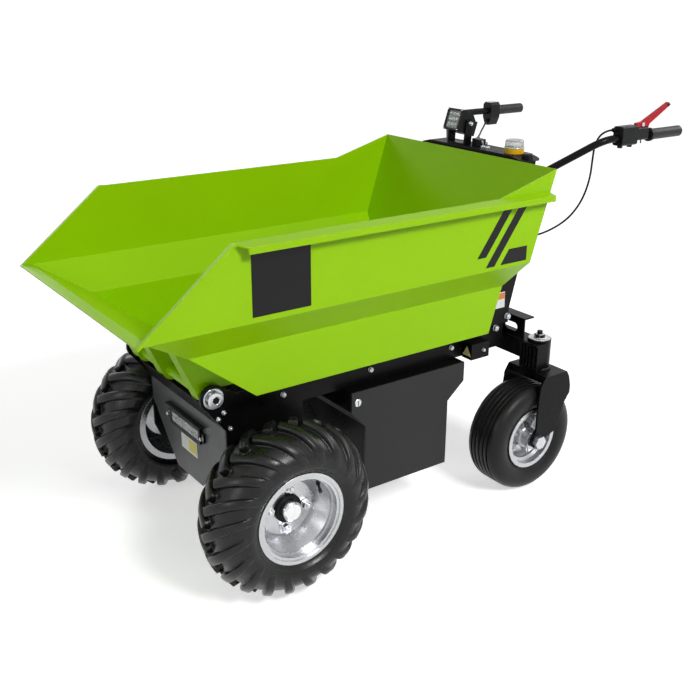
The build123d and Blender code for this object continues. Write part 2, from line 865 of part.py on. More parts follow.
def bend_radii(points):
    """Largest even arcs that the runs of a route allow."""
    radii = []
    for before, here, after in zip(points, points[1:], points[2:]):
        into = here - before
        out = after - here
        half_turn = radians(into.get_angle(out)) / 2
        radii.append(0.45 * min(into.length, out.length) / tan(half_turn))
    return radii


for name, route in (("brake_cable", brake_route), ("throttle_cable", throttle_route)):
    points = cable_points(route)
    radii = bend_radii(points)
    with BuildPart() as cable:
        with BuildLine() as cable_line:
            FilletPolyline(*points, radius=radii)
        with BuildSketch(Plane(origin=cable_line.line @ 0, z_dir=cable_line.line % 0)):
            Circle(cable_r)
        sweep()
    cable_len = cable_line.wire().length
    filled = cable.part.volume / (pi * cable_r**2 * cable_len)
    print(f"{name}: {cable_len:.1f} long, volume over section times length {filled:.4f}")
    print("bend radii", [round(radius, 1) for radius in radii])
    save(cable, name)

# barrels that hold the ends of both cables, each cut to the piece that carries it
with BuildPart() as ferrules:
    for route, carriers in (
        (brake_route, (brake_mount, tower_block)),
        (throttle_route, (throttle, gland)),
    ):
        points = cable_points(route)
        for end, following in ((points[0], points[1]), (points[-1], points[-2])):
            with BuildSketch(Plane(origin=end, z_dir=end - following)):
                Circle(barrel_r)
            extrude(amount=barrel_len)
        for carrier in carriers:
            add(carrier.part, mode=Mode.SUBTRACT)
save(ferrules, "cable_ferrules")

# ================================================================ front wheels
# tyre section as (radius, offset along the axle), turned about the axle
carcass_r = front_tyre_r - lug_h
tread_half = front_tyre_w / 2
bead_r = rim_r - 12.0
tyre_section = (
    (bead_r, rim_w / 2 - 6.0),
    (rim_r + 4.0, rim_w / 2 - 2.0),
    (rim_r + 26.0, tread_half - 1.0),
    (carcass_r - 32.0, tread_half - 6.0),
    (carcass_r - 7.0, tread_half - 37.0),
)
tyre_loop = (*tyre_section, *[(r, -y) for r, y in reversed(tyre_section)])
tread_section = (
    (carcass_r - 54.0, tread_half),
    (front_tyre_r - 42.0, tread_half - 1.0),
    (front_tyre_r - 16.0, tread_half - 24.0),
    (front_tyre_r, 12.0),
)
wheel_axis = Axis((front_axle_x, wheel_y, front_tyre_r), (0, 1, 0))
lug_lean = radians(31.0)    # of a lug's run across the tread
lug_skew = lug_w / 2 * sin(lug_lean)    # corner of a lug past its middle line, along the axle
lug_reach = lug_w / 2 * cos(lug_lean)   # and around the tyre
lug_root_r = carcass_r - 45.0
lug_top = []                # top of a lug as (along its run, from the axle)
for r, y in tread_section:
    along = (y - lug_skew) / cos(lug_lean)
    crown_turn = asin((along * sin(lug_lean) + lug_reach) / r)
    lug_top.append((along, r * cos(crown_turn)))
lug_side = (*lug_top, (0.0, lug_top[-1][1]), (0.0, lug_root_r))


def axle_plane(x, y, z):
    """Plane through a wheel's centre, sketched as (radius, offset along the axle)."""
    return Plane(origin=(x, y, z), x_dir=(0, 0, 1), z_dir=(-1, 0, 0))


with BuildPart() as tyre:
    with BuildSketch(axle_plane(front_axle_x, wheel_y, front_tyre_r)):
        outline(tyre_loop)
    revolve(axis=wheel_axis)
    for half in (1, -1):
        for i in range(lug_count):
            turn = 2 * pi / lug_count * (i + (0.0 if half > 0 else 0.5)) - half * crown_turn
            radial = Vector(sin(turn), 0, -cos(turn))
            across = Vector(0, half, 0)
            run = across * cos(lug_lean) + radial.cross(across) * sin(lug_lean)
            with BuildSketch(Plane(wheel_axis.position, x_dir=run, z_dir=run.cross(radial))):
                outline(lug_side)
            extrude(amount=lug_w / 2, both=True)
    with BuildSketch(side_plane(wheel_y - front_tyre_w)):
        with Locations(ahead(0, front_tyre_r)):
            Circle(bead_r)
    extrude(amount=-2 * front_tyre_w, mode=Mode.SUBTRACT)
save_pair(tyre, "tyre")

# dished rim: stepped flange, barrel and a deep cone down to the disc round the hub
barrel_in_r = bead_r - sheet_t
disc_y = 4.0                # disc's outer face, outward of the tyre's centre
disc_r = 62.0
disc_t = 4.0
dish_y = 43.0               # outer end of the cone
rim_profile = (
    (rim_r, rim_w / 2),
    (rim_r, rim_w / 2 - sheet_t),
    (bead_r, rim_w / 2 - 6.0),
    (bead_r, -rim_w / 2 + 6.0),
    (rim_r, -rim_w / 2 + sheet_t),
    (rim_r, -rim_w / 2),
    (barrel_in_r, -rim_w / 2),
    (barrel_in_r, dish_y - 4.0),
    (disc_r, disc_y - disc_t),
    (hub_r, disc_y - disc_t),
    (hub_r, disc_y),
    (disc_r, disc_y),
    (barrel_in_r - 4.0, dish_y),
    (barrel_in_r - 4.0, dish_y + 5.0),
    (barrel_in_r, dish_y + 5.0),
    (barrel_in_r, rim_w / 2 - sheet_t),
    (barrel_in_r + 7.0, rim_w / 2 - sheet_t),
    (barrel_in_r + 7.0, rim_w / 2),
)
with BuildPart() as wheel_rim:
    with BuildSketch(axle_plane(front_axle_x, wheel_y, front_tyre_r)):
        outline(rim_profile)
    revolve(axis=wheel_axis)
save_pair(wheel_rim, "wheel_rim")

hub_cap_r = 22.0
hub_in = -tread_half
cap_y = disc_y + 28.0       # outer face of the cap
hub_profile = (
    (stub_r + fit, hub_in),
    (hub_r, hub_in),
    (hub_r, disc_y + 8.0),
    (hub_cap_r, disc_y + 8.0),
    (hub_cap_r, cap_y - 4.0),
    (hub_cap_r - 4.0, cap_y),
    (0.0, cap_y),
    (0.0, stub_out + cap_gap),
    (stub_r + fit, stub_out + cap_gap),
)
with BuildPart() as hub:
    with BuildSketch(axle_plane(front_axle_x, wheel_y, front_tyre_r)):
        outline(hub_profile)
    revolve(axis=wheel_axis)
save_pair(hub, "wheel_hub")

# ================================================================ casters
caster_axis = Axis((caster_axle_x, caster_y, caster_tyre_r), (0, 1, 0))
caster_half = caster_tyre_w / 2
caster_bead_r = caster_rim_r - 8.0
caster_section = (
    (caster_bead_r, caster_rim_w / 2 - 8.0),
    (caster_rim_r + 3.0, caster_rim_w / 2 - 3.0),
    (caster_rim_r + 24.0, caster_half),
    (caster_tyre_r - 15.0, caster_half - 3.0),
    (caster_tyre_r - 3.0, caster_half - 16.0),
    (caster_tyre_r, caster_half - 28.0),
)
caster_loop = (*caster_section, *[(r, -y) for r, y in reversed(caster_section)])
with BuildPart() as caster_tyre:
    with BuildSketch(axle_plane(caster_axle_x, caster_y, caster_tyre_r)):
        outline(caster_loop)
    revolve(axis=caster_axis)
save_pair(caster_tyre, "caster_tyre")

caster_barrel_r = caster_bead_r - sheet_t
hub_half = caster_half + leg_gap - moving_gap
caster_rim_profile = (
    (caster_rim_r, caster_rim_w / 2),
    (caster_rim_r, caster_rim_w / 2 - sheet_t),
    (caster_bead_r, caster_rim_w / 2 - 8.0),
    (caster_bead_r, -caster_rim_w / 2 + 8.0),
    (caster_rim_r, -caster_rim_w / 2 + sheet_t),
    (caster_rim_r, -caster_rim_w / 2),
    (caster_barrel_r, -caster_rim_w / 2),
    (caster_barrel_r, 24.0),
    (63.0, 23.0),
    (63.0, 17.0),
    (52.0, 4.0),
    (caster_hub_r, 4.0),
    (caster_hub_r, -hub_half),
    (caster_bolt_r + fit, -hub_half),
    (caster_bolt_r + fit, hub_half),
    (caster_hub_r, hub_half),
    (caster_hub_r, 8.0),
    (50.0, 8.0),
    (60.0, 20.0),
    (60.0, 26.0),
    (caster_barrel_r, 29.0),
    (caster_barrel_r, caster_rim_w / 2),
)
with BuildPart() as caster_rim:
    with BuildSketch(axle_plane(caster_axle_x, caster_y, caster_tyre_r)):
        outline(caster_rim_profile)
    revolve(axis=caster_axis)
save_pair(caster_rim, "caster_rim")

# fork: crown plate, two legs, and the kingpin with its cap and nut
fork_half = caster_half + leg_gap
eye_half = 20.0             # radius of the legs' lower ends
crown_front = 36.0          # ahead of the kingpin
crown_back = 41.0
leg_view = (
    (kingpin_x + crown_front, fork_top_z),
    (kingpin_x + 50.0, fork_top_z - 22.0),
    (kingpin_x + 54.0, fork_top_z - 60.0),
    (kingpin_x + 54.0, caster_tyre_r + 30.0),
    (caster_axle_x + eye_half, caster_tyre_r),
    (caster_axle_x - eye_half, caster_tyre_r),
    (kingpin_x - 17.0, caster_tyre_r + 16.0),
    (kingpin_x - 40.0, fork_top_z - 85.0),
    (kingpin_x - 57.0, fork_top_z - 61.0),
    (kingpin_x - 57.0, fork_top_z - 42.0),
    (kingpin_x - 50.0, fork_top_z - 15.0),
    (kingpin_x - crown_back, fork_top_z),
)
cap_z = housing_top_z + cap_gap
cap_t = 5.0
nut_h = 10.0
stud_r = 7.0
stud_h = 9.0
with BuildPart() as fork:
    for y in (caster_y - fork_half - plate, caster_y + fork_half):
        with BuildSketch(side_plane(y)):
            outline(leg_view)
            with Locations((caster_axle_x, caster_tyre_r)):
                Circle(eye_half)
                Circle(caster_bolt_r, mode=Mode.SUBTRACT)
        extrude(amount=-plate)
    with BuildSketch(side_plane(caster_y - fork_half)):
        outline(
            (
                (kingpin_x + crown_front, fork_top_z),
                (kingpin_x + crown_front, fork_top_z - plate),
                (kingpin_x - crown_back, fork_top_z - plate),
                (kingpin_x - crown_back, fork_top_z),
            )
        )
    extrude(amount=-2 * fork_half)
    with BuildSketch(Plane.XY.offset(fork_top_z)):
        with Locations((kingpin_x, caster_y)):
            Circle(kingpin_r)
    extrude(amount=cap_z - fork_top_z)
    with BuildSketch(Plane.XY.offset(cap_z)):
        with Locations((kingpin_x, caster_y)):
            Circle(housing_r)
    extrude(amount=cap_t)
    with BuildSketch(Plane.XY.offset(cap_z + cap_t)):
        with Locations((kingpin_x, caster_y)):
            RegularPolygon(2 * stud_r, 6)
    extrude(amount=nut_h)
    with BuildSketch(Plane.XY.offset(cap_z + cap_t + nut_h)):
        with Locations((kingpin_x, caster_y)):
            Circle(stud_r)
    extrude(amount=stud_h)
save_pair(fork, "caster_fork")

caster_nut_r = 18.0
caster_nut_h = 13.0
with BuildPart() as caster_bolt:
    with BuildSketch(side_plane(caster_y - fork_half - plate)):
        with Locations((caster_axle_x, caster_tyre_r)):
            Circle(caster_bolt_r)
    extrude(amount=-2 * (fork_half + plate))
    for y in (caster_y - fork_half - plate - caster_nut_h, caster_y + fork_half + plate):
        with BuildSketch(side_plane(y)):
            with Locations((caster_axle_x, caster_tyre_r)):
                RegularPolygon(caster_nut_r, 6)
        extrude(amount=-caster_nut_h)
save_pair(caster_bolt, "caster_bolt")
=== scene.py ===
"""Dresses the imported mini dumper: materials, small pieces, floor, light and camera, in metres."""
import json
from math import cos, hypot, pi, radians, sin, tau

import bmesh
import bpy
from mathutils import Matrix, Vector


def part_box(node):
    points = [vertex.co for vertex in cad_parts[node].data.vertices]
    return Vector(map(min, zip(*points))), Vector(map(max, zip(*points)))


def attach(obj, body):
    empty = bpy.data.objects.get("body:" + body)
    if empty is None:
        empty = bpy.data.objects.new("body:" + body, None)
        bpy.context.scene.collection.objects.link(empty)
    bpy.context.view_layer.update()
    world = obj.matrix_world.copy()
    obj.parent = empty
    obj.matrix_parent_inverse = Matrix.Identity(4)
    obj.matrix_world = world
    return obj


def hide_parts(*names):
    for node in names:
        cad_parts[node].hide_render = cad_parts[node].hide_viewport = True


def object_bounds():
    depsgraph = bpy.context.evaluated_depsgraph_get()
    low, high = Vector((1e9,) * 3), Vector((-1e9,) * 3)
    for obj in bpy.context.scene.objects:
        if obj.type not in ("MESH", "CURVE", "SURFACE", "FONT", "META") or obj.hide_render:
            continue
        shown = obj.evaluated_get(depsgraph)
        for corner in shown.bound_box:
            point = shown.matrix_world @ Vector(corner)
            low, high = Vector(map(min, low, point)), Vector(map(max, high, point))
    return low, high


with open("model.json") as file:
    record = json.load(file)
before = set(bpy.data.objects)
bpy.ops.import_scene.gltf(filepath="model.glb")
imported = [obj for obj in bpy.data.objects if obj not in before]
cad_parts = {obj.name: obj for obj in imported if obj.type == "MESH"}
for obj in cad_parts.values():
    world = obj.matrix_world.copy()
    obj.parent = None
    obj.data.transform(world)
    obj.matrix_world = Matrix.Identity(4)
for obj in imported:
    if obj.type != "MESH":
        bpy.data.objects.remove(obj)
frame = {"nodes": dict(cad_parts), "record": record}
nodes = frame["nodes"]
cad_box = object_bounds()


# ---------------------------------------------------------------- places read from the frame
def low(node):
    return Vector(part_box(node)[0])


def high(node):
    return Vector(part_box(node)[1])


def mid(node):
    return (low(node) + high(node)) / 2


# ---------------------------------------------------------------- node materials
def linear(rgb):
    """Colour written as 0-255 display values, as the shader wants it."""
    out = []
    for value in rgb:
        c = value / 255
        out.append(c / 12.92 if c <= 0.04045 else ((c + 0.055) / 1.055) ** 2.4)
    return (*out, 1.0)


class Surface:
    """A node material grown step by step around one Principled shader."""

    def __init__(self, name, rgb, rough, metal=0.0, **sockets):
        self.mat = bpy.data.materials.new(name)
        self.mat.use_nodes = True
        self.tree = self.mat.node_tree
        self.shader = self.tree.nodes["Principled BSDF"]
        self.shader.inputs["Metallic"].default_value = metal
        for socket, value in sockets.items():
            self.shader.inputs[socket.replace("_", " ")].default_value = value
        self.where = self.add("ShaderNodeTexCoord").outputs["Object"]
        base = self.add("ShaderNodeRGB")
        base.outputs[0].default_value = linear(rgb)
        self.colour = base.outputs[0]
        self.rough = self.number(rough)
        self.normal = None

    def add(self, kind, **settings):
        node = self.tree.nodes.new(kind)
        for key, value in settings.items():
            setattr(node, key, value)
        return node

    def link(self, source, socket):
        self.tree.links.new(source, socket)

    def number(self, value):
        node = self.add("ShaderNodeValue")
        node.outputs[0].default_value = value
        return node.outputs[0]

    def math(self, kind, a, b=0.0):
        node = self.add("ShaderNodeMath", operation=kind)
        for socket, value in zip(node.inputs, (a, b)):
            if isinstance(value, (int, float)):
                socket.default_value = value
            else:
                self.link(value, socket)
        return node.outputs[0]

    def noise(self, scale, detail=4.0):
        """Noise in metres: scale is the number of blotches in a metre."""
        tex = self.add("ShaderNodeTexNoise")
        self.link(self.where, tex.inputs["Vector"])
        tex.inputs["Scale"].default_value = scale
        tex.inputs["Detail"].default_value = detail
        tex.inputs["Roughness"].default_value = 0.55
        return tex.outputs["Fac"]

    def cells(self, scale):
        """Distance to the nearest of scattered points."""
        tex = self.add("ShaderNodeTexVoronoi")
        self.link(self.where, tex.inputs["Vector"])
        tex.inputs["Scale"].default_value = scale
        return tex.outputs["Distance"]

    def ramp(self, value, start, end, low_out=0.0, high_out=1.0):
        node = self.add("ShaderNodeMapRange")
        self.link(value, node.inputs["Value"])
        for socket, number in zip(node.inputs[1:5], (start, end, low_out, high_out)):
            socket.default_value = number
        return node.outputs["Result"]

    def mix(self, mask, rgb):
        """Lays a colour over what is there, where the mask is 1."""
        node = self.add("ShaderNodeMix", data_type="RGBA")
        self.link(mask, node.inputs[0])
        self.link(self.colour, node.inputs[6])
        node.inputs[7].default_value = linear(rgb)
        self.colour = node.outputs[2]
        return self

    def mottle(self, scale, amount, detail=4.0):
        """Light and dark clouds in the colour."""
        node = self.add("ShaderNodeHueSaturation")
        clouds = self.ramp(self.noise(scale, detail), 0.3, 0.7, 1 - amount, 1 + amount)
        self.link(clouds, node.inputs["Value"])
        self.link(self.colour, node.inputs["Color"])
        self.colour = node.outputs[0]
        return self

    def uneven(self, scale, amount, detail=4.0):
        """Uneven gloss."""
        clouds = self.ramp(self.noise(scale, detail), 0.3, 0.7, -amount, amount)
        self.rough = self.math("ADD", self.rough, clouds)
        return self

    def bump(self, height, distance, strength=1.0):
        node = self.add("ShaderNodeBump")
        node.inputs["Strength"].default_value = strength
        node.inputs["Distance"].default_value = distance
        self.link(height, node.inputs["Height"])
        if self.normal is not None:
            self.link(self.normal, node.inputs["Normal"])
        self.normal = node.outputs[0]
        return self

    def soft_edges(self, radius):
        """Rounds sharp edges in the shading alone."""
        node = self.add("ShaderNodeBevel", samples=4)
        node.inputs["Radius"].default_value = radius
        self.normal = node.outputs[0]
        return self

    def worn_and_highlit_edges(self, rgb, radius, amount):
        """Shows another, lighter colour along edges, broken up by noise: a painted highlight, on the
        dark paints partly wear as well.
        """
        bevel = self.add("ShaderNodeBevel", samples=4)
        bevel.inputs["Radius"].default_value = radius
        flat = self.add("ShaderNodeNewGeometry")
        dot = self.add("ShaderNodeVectorMath", operation="DOT_PRODUCT")
        self.link(bevel.outputs[0], dot.inputs[0])
        self.link(flat.outputs["Normal"], dot.inputs[1])
        edge = self.ramp(dot.outputs["Value"], 0.995, 0.86)
        broken = self.math("MULTIPLY", edge, self.ramp(self.noise(90, 5), 0.38, 0.62, 0.15, 1.0))
        mask = self.math("MULTIPLY", broken, amount)
        self.mix(mask, rgb)
        return self

    def dust(self, rgb, amount, scale=7.0):
        """Fine settled dirt, more on what faces up."""
        flat = self.add("ShaderNodeNewGeometry")
        split = self.add("ShaderNodeSeparateXYZ")
        self.link(flat.outputs["Normal"], split.inputs[0])
        up = self.ramp(split.outputs["Z"], -0.2, 1.0, 0.35, 1.0)
        patch = self.ramp(self.noise(scale, 6), 0.35, 0.75)
        mask = self.math("MULTIPLY", self.math("MULTIPLY", up, patch), amount)
        self.mix(mask, rgb)
        self.rough = self.math("ADD", self.rough, self.math("MULTIPLY", mask, 0.25))
        return self

    def done(self):
        self.link(self.colour, self.shader.inputs["Base Color"])
        clamp = self.add("ShaderNodeClamp")
        clamp.inputs["Min"].default_value = 0.03
        self.link(self.rough, clamp.inputs[0])
        self.link(clamp.outputs[0], self.shader.inputs["Roughness"])
        if self.normal is not None:
            self.link(self.normal, self.shader.inputs["Normal"])
        return self.mat


def tub_paint():
    s = Surface("tub_paint", (147, 198, 4), 0.34,
                Specular_IOR_Level=0.12, Coat_Weight=0.05, Coat_Roughness=0.1)
    s.soft_edges(0.0015)
    s.mottle(3.0, 0.025).uneven(14, 0.05)
    # the lighter green along the edges is a painted highlight
    s.worn_and_highlit_edges((196, 232, 70), 0.0022, 0.75)
    s.bump(s.noise(420, 2), 0.0003, 0.25)
    return s.done()


def frame_paint():
    s = Surface("frame_paint", (9, 9, 10), 0.30, Specular_IOR_Level=0.10)
    s.soft_edges(0.0018)
    s.mottle(9, 0.12).uneven(20, 0.06)
    # the lighter edges are partly wear, partly painted highlight
    s.worn_and_highlit_edges((44, 45, 48), 0.0016, 0.6)
    s.dust((70, 68, 62), 0.05)
    s.bump(s.noise(700, 2), 0.0002, 0.35)
    return s.done()


def cover_paint():
    s = Surface("cover_paint", (62, 63, 65), 0.36, Specular_IOR_Level=0.3)
    s.soft_edges(0.0015)
    s.mottle(6, 0.03).uneven(18, 0.05)
    # the lighter edges are partly wear, partly painted highlight
    s.worn_and_highlit_edges((104, 105, 107), 0.0016, 0.5)
    s.bump(s.noise(650, 2), 0.0002, 0.3)
    return s.done()


def box_paint():
    s = Surface("box_paint", (30, 30, 31), 0.38, Specular_IOR_Level=0.25)
    s.soft_edges(0.0018)
    s.mottle(5, 0.05).uneven(16, 0.05)
    # the lighter edges are partly wear, partly painted highlight
    s.worn_and_highlit_edges((66, 66, 68), 0.0018, 0.6)
    s.dust((84, 80, 72), 0.04)
    s.bump(s.noise(600, 2), 0.00025, 0.4)
    return s.done()


def rubber(name, rgb, rough, gloss):
    s = Surface(name, rgb, rough, Specular_IOR_Level=gloss)
    s.soft_edges(0.003)
    s.mottle(22, 0.10).uneven(30, 0.08)
    s.dust((84, 79, 70), 0.04, 11)
    s.bump(s.noise(900, 3), 0.0003, 0.5)
    return s.done()


def bare_steel(name, rgb, rough):
    s = Surface(name, rgb, rough, 1.0)
    s.soft_edges(0.001)
    s.mottle(120, 0.05, 5).uneven(120, 0.07, 5)
    s.bump(s.noise(720, 2), 0.0001, 0.2)
    return s.done()


def rim_silver():
    s = Surface("rim_silver", (190, 191, 194), 0.28, 0.9)
    s.soft_edges(0.0015)
    s.mottle(16, 0.035).uneven(35, 0.05)
    s.dust((120, 112, 100), 0.06)
    s.bump(s.noise(1100, 2), 0.00015, 0.3)
    return s.done()


def plastic(name, rgb, rough, grain=1400, edge_wear_and_highlight=None):
    s = Surface(name, rgb, rough, Specular_IOR_Level=0.15)
    s.soft_edges(0.0012)
    s.mottle(30, 0.05).uneven(40, 0.05)
    if edge_wear_and_highlight:
        # the lighter edges are partly wear, partly painted highlight
        s.worn_and_highlit_edges(edge_wear_and_highlight, 0.0012, 0.5)
    s.bump(s.noise(grain, 2), 0.00025, 0.4)
    return s.done()


def clear_lens(name, rgb, rough):
    s = Surface(name, rgb, rough, Transmission_Weight=0.55, IOR=1.49)
    s.mottle(60, 0.08)
    s.bump(s.cells(240), 0.0006, 0.6)
    return s.done()


def flat_material(name, rgb, rough=0.35):
    """Smooth film or plate without wear."""
    s = Surface(name, rgb, rough, Specular_IOR_Level=0.2)
    s.mottle(25, 0.05).uneven(30, 0.05)
    s.bump(s.noise(500, 2), 0.0001, 0.2)
    return s.done()


STRIPE_BLACK = flat_material("stripe_black", (8, 9, 9), 0.36)
PLATE_WHITE = flat_material("plate_white", (226, 226, 224))
PLATE_YELLOW = flat_material("plate_yellow", (218, 206, 92))
PLATE_PALE = flat_material("plate_pale", (240, 230, 158))
PLATE_ORANGE = flat_material("plate_orange", (214, 130, 70))
LED = clear_lens("led", (226, 229, 232), 0.2)

# one for each material slot of the record
MATERIALS = {
    "tub_paint": tub_paint(),
    "frame_paint": frame_paint(),
    "cover_paint": cover_paint(),
    "box_paint": box_paint(),
    "front_tyre": rubber("front_tyre", (19, 19, 20), 0.29, 0.30),
    "caster_tyre": rubber("caster_tyre", (22, 22, 23), 0.36, 0.2),
    "rim_silver": rim_silver(),
    "hub_chrome": bare_steel("hub_chrome", (222, 223, 226), 0.14),
    "zinc": bare_steel("zinc", (198, 200, 204), 0.30),
    "axle_iron": bare_steel("axle_iron", (96, 96, 98), 0.5),
    "battery_case": plastic("battery_case", (22, 22, 24), 0.55),
    "lamp_case": plastic("lamp_case", (15, 16, 17), 0.38, edge_wear_and_highlight=(58, 60, 64)),
    "lamp_lens": clear_lens("lamp_lens", (222, 226, 230), 0.12),
    "panel_black": plastic("panel_black", (12, 12, 13), 0.45),
    "beacon_yellow": plastic("beacon_yellow", (226, 176, 30), 0.4),
    "beacon_clear": clear_lens("beacon_clear", (226, 228, 226), 0.14),
    "grip_rubber": rubber("grip_rubber", (22, 22, 24), 0.5, 0.3),
    "control_plastic": plastic("control_plastic", (18, 19, 20), 0.38, edge_wear_and_highlight=(60, 62, 66)),
    "lever_red": plastic("lever_red", (176, 28, 38), 0.34),
    "cable_sheath": plastic("cable_sheath", (16, 16, 18), 0.4, 900),
}

slot_of = {s["node"]: s["material_slot"] for s in frame["record"]["subparts"]}
for name, node in nodes.items():
    node.data.materials.clear()
    node.data.materials.append(MATERIALS[slot_of[name]])


# ---------------------------------------------------------------- making pieces
MM = 0.001
WELD = 1e-6                    # metres
ROUNDED_FROM = radians(30)     # edges at least as sharp get the bevel
AXLE_X = mid("drive_axle").x
X_DIR, Y_DIR, Z_DIR = Vector((1, 0, 0)), Vector((0, 1, 0)), Vector((0, 0, 1))


def spot(ahead, y, z):
    """Place given in mm: ahead of the front axle, to the left, above the floor."""
    return Vector((AXLE_X + ahead * MM, y * MM, z * MM))


class Heap:
    """Vertices and faces of many small solids, joined into one piece; sizes in mm."""

    def __init__(self):
        self.verts = []
        self.faces = []

    def add(self, verts, faces):
        first = len(self.verts)
        self.verts += [tuple(v) for v in verts]
        self.faces += [tuple(first + i for i in face) for face in faces]

    def prism(self, outline, place, right, up, depth):
        """Outline of (right, up) points, extruded toward right x up."""
        out = right.cross(up) * depth * MM
        base = [place + right * (u * MM) + up * (v * MM) for u, v in outline]
        n = len(base)
        sides = [(i, (i + 1) % n, n + (i + 1) % n, n + i) for i in range(n)]
        ends = [tuple(range(n))[::-1], tuple(range(n, 2 * n))]
        self.add([*base, *[p + out for p in base]], [*ends, *sides])

    def box(self, place, size, right=Y_DIR, up=Z_DIR):
        """Box standing on its place: size across, up and outward."""
        w, h, depth = size[0] / 2, size[1] / 2, size[2]
        self.prism(((-w, -h), (w, -h), (w, h), (-w, h)), place, right, up, depth)

    def turned(self, profile, place, axis, sides=40):
        """Profile of (radius, height) points, turned round the axis."""
        right = axis.orthogonal().normalized()
        up = axis.cross(right)
        n = len(profile)
        verts = []
        for i in range(sides):
            spoke = right * cos(tau * i / sides) + up * sin(tau * i / sides)
            verts += [place + spoke * (r * MM) + axis * (h * MM) for r, h in profile]
        faces = []
        for i in range(sides):
            a, b = n * i, n * ((i + 1) % sides)
            faces += [(a + k, b + k, b + k + 1, a + k + 1) for k in range(n - 1)]
        self.add(verts, faces)

    def dome(self, place, axis, r, h, sides):
        """Low dome of radius r and height h, its foot sunk by half a millimetre."""
        arc = [(r * cos(a * pi / 8), h * sin(a * pi / 8)) for a in range(5)]
        self.turned([(r, -0.5), *arc], place, axis, sides)

    def bolt(self, place, axis, across, head, washer=None):
        """Hex head on a washer, with the stud's rounded end."""
        wide = washer or across * 0.62
        thick = across * 0.12
        plate = [(0, 0), (wide, 0), (wide, thick * 0.7), (wide * 0.96, thick), (0, thick)]
        self.turned(plate, place, axis, 32)
        right = axis.orthogonal().normalized()
        up = axis.cross(right)
        half = across / 2 / cos(pi / 6)
        points = [(half * cos(pi / 3 * i), half * sin(pi / 3 * i)) for i in range(6)]
        self.prism(points, place + axis * (thick * MM), right, up, head)
        top = place + axis * ((thick + head) * MM)
        stud = across * 0.3
        end = across * 0.22
        self.turned([(stud, -0.2), (stud, across * 0.16), (end, end), (0, end)], top, axis, 20)

    def piece(self, name, slot, body="root", material=None, round_mm=0.0, smooth=25):
        """Makes the mesh object: welded, its edges rounded, riding on its body."""
        mesh = bpy.data.meshes.new(name)
        mesh.from_pydata(self.verts, [], self.faces)
        obj = bpy.data.objects.new(name, mesh)
        bpy.context.scene.collection.objects.link(obj)
        tidy = bmesh.new()
        tidy.from_mesh(mesh)
        bmesh.ops.remove_doubles(tidy, verts=tidy.verts, dist=WELD)
        bmesh.ops.recalc_face_normals(tidy, faces=tidy.faces)
        tidy.to_mesh(mesh)
        tidy.free()
        mesh.materials.append(material or MATERIALS[slot])
        mesh.shade_smooth()
        mesh.set_sharp_from_angle(angle=radians(smooth))
        if round_mm:
            rounding = obj.modifiers.new("edges", "BEVEL")
            rounding.width = round_mm * MM
            rounding.segments = 2
            rounding.limit_method = "ANGLE"
            rounding.angle_limit = ROUNDED_FROM
        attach(obj, body)
        return obj


def mixed(a, b, t):
    return a + (b - a) * t


def along(points, t):
    """Point of a polyline of (a, b) pairs at the share t of its length."""
    runs = [hypot(q[0] - p[0], q[1] - p[1]) for p, q in zip(points, points[1:])]
    left = min(max(t, 0.0), 1.0) * sum(runs)
    for (p, q), run in zip(zip(points, points[1:]), runs):
        if left <= run:
            return (mixed(p[0], q[0], left / run), mixed(p[1], q[1], left / run))
        left -= run
    return points[-1]


def rounded(points, cuts=2):
    """Corners of an open polyline cut again and again, its ends kept."""
    for _ in range(cuts):
        new = [points[0]]
        for p, q in zip(points, points[1:]):
            new.append((mixed(p[0], q[0], 0.25), mixed(p[1], q[1], 0.25)))
            new.append((mixed(p[0], q[0], 0.75), mixed(p[1], q[1], 0.75)))
        points = [*new, points[-1]]
    return points


# ---------------------------------------------------------------- front tyres
# half sections as (radius, offset from the tyre's middle), in mm
CARCASS = rounded(
    [(183.5, 0), (179, 38), (158, 65), (140, 75.6), (120, 76.2), (108, 65), (93, 60.5)], 3)
LUG_FOOT = rounded([(183.5, -8), (183.5, 0), (179, 38), (157, 66), (136, 75.5), (124, 75.8)], 2)
LUG_TOP = rounded([(198, -8), (198, 6), (193, 30), (181, 54), (160, 74), (140, 77), (124, 76.4)], 2)
SIDE_RINGS = ((129, 0.9), (122, 0.7), (116, 0.7))     # radius and rise
RING_HALF = 2.2
SIDE_LIMIT = 76.9              # no ring stands out beyond it
BEAD = (92, 58)
LUGS = 20
LUG_LEAN = radians(42)
LUG_RUN = 134.0
LUG_HALF = 11.8
LUG_NOSE = 5.0                 # length over which the inner end rises
LUG_TAIL = 16.0                # length over which the outer end fades
LUG_PHASE = -0.0738            # radians, turns the tread as the solid's
TREAD_R = 186.0
FOOT_SUNK = 2.0
FLANK_SUNK = 1.5
FLANK_R = 150
LUG_SECTION = ((-1.08, -0.1), (-1.0, 0.35), (-0.93, 0.72), (-0.8, 0.92), (-0.55, 1.0), (0.0, 1.0),
               (0.55, 1.0), (0.8, 0.92), (0.93, 0.72), (1.0, 0.35), (1.08, -0.1))
LUG_STEPS = 22


def carcass_section():
    """Half section with fine rings raised on the sidewall."""
    points = []
    for r, y in CARCASS:
        rise = sum(h * max(0.0, 1 - abs(r - ring) / RING_HALF) for ring, h in SIDE_RINGS)
        points.append((r, min(y + rise, SIDE_LIMIT)))
    return points


